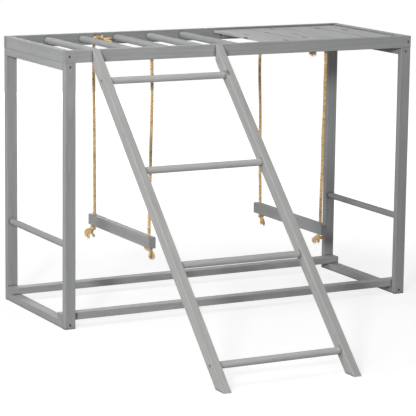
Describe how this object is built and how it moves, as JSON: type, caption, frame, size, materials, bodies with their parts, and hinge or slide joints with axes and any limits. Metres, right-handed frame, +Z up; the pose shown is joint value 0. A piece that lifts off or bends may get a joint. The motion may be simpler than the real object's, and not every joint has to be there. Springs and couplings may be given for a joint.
{
  "type": "chicken perch",
  "caption": "Wooden perch stand for hens: an open frame with round top perches, a boarded platform, a leaning ladder and hanging rope swings.",
  "frame": {"origin": "on the floor, under the middle of the whole stand with its ladder", "axes": "+X to the platform end, +Y from the ladder's foot to the rear, +Z up"},
  "size_m": [1.22, 1.32, 0.85],
  "materials": {
    "grey_stained_wood": "matt grey stain",
    "rope": "three-strand twisted fibre",
    "steel": "zinc plated"
  },
  "bodies": {
    "frame": {"cleat_screws": "steel", "frame_screws": "steel", "front_bottom_rail": "grey_stained_wood", "front_left_platform_cleat": "grey_stained_wood", "front_right_platform_cleat": "grey_stained_wood", "front_tray_rail": "grey_stained_wood", "ladder_left_stringer": "grey_stained_wood", "ladder_right_stringer": "grey_stained_wood", "ladder_rung_1": "grey_stained_wood", "ladder_rung_2": "grey_stained_wood", "ladder_rung_3": "grey_stained_wood", "ladder_rung_4": "grey_stained_wood", "ladder_screws": "steel", "left_bottom_end_rail": "grey_stained_wood", "left_end_perch": "grey_stained_wood", "left_front_post": "grey_stained_wood", "left_rear_post": "grey_stained_wood", "left_rope_staples": "steel", "left_top_end_rail": "grey_stained_wood", "left_tray_rail": "grey_stained_wood", "platform_board_1": "grey_stained_wood", "platform_board_2": "grey_stained_wood", "platform_board_3": "grey_stained_wood", "platform_board_4": "grey_stained_wood", "platform_nails": "steel", "platform_tie_strip": "grey_stained_wood", "rail_screws": "steel", "rear_bottom_rail": "grey_stained_wood", "rear_left_platform_cleat": "grey_stained_wood", "rear_right_platform_cleat": "grey_stained_wood", "rear_tray_rail": "grey_stained_wood", "right_bottom_end_rail": "grey_stained_wood", "right_end_perch": "grey_stained_wood", "right_front_post": "grey_stained_wood", "right_rear_post": "grey_stained_wood", "right_rope_staples": "steel", "right_top_end_rail": "grey_stained_wood", "right_tray_rail": "grey_stained_wood", "rung_screws": "steel", "top_perch_1": "grey_stained_wood", "top_perch_2": "grey_stained_wood", "top_perch_3": "grey_stained_wood", "top_perch_4": "grey_stained_wood", "top_perch_5": "grey_stained_wood"},
    "left_swing": {"left_swing_bar": "grey_stained_wood", "left_swing_front_hitch": "rope", "left_swing_front_knot": "rope", "left_swing_front_rope": "rope", "left_swing_rear_hitch": "rope", "left_swing_rear_knot": "rope", "left_swing_rear_rope": "rope"},
    "right_swing": {"right_swing_bar": "grey_stained_wood", "right_swing_front_hitch": "rope", "right_swing_front_knot": "rope", "right_swing_front_rope": "rope", "right_swing_rear_hitch": "rope", "right_swing_rear_knot": "rope", "right_swing_rear_rope": "rope"}
  },
  "joints": [
    {"name": "left_swing_hinge", "type": "hinge", "parent": "frame", "child": "left_swing", "pos_m": [-0.304, 0.425, 0.828], "axis": [0, 1, 0], "range_deg": [-22, 22]},
    {"name": "right_swing_hinge", "type": "hinge", "parent": "frame", "child": "right_swing", "pos_m": [0.3, 0.425, 0.82], "axis": [0, 1, 0], "range_deg": [-22, 22]}
  ]
}
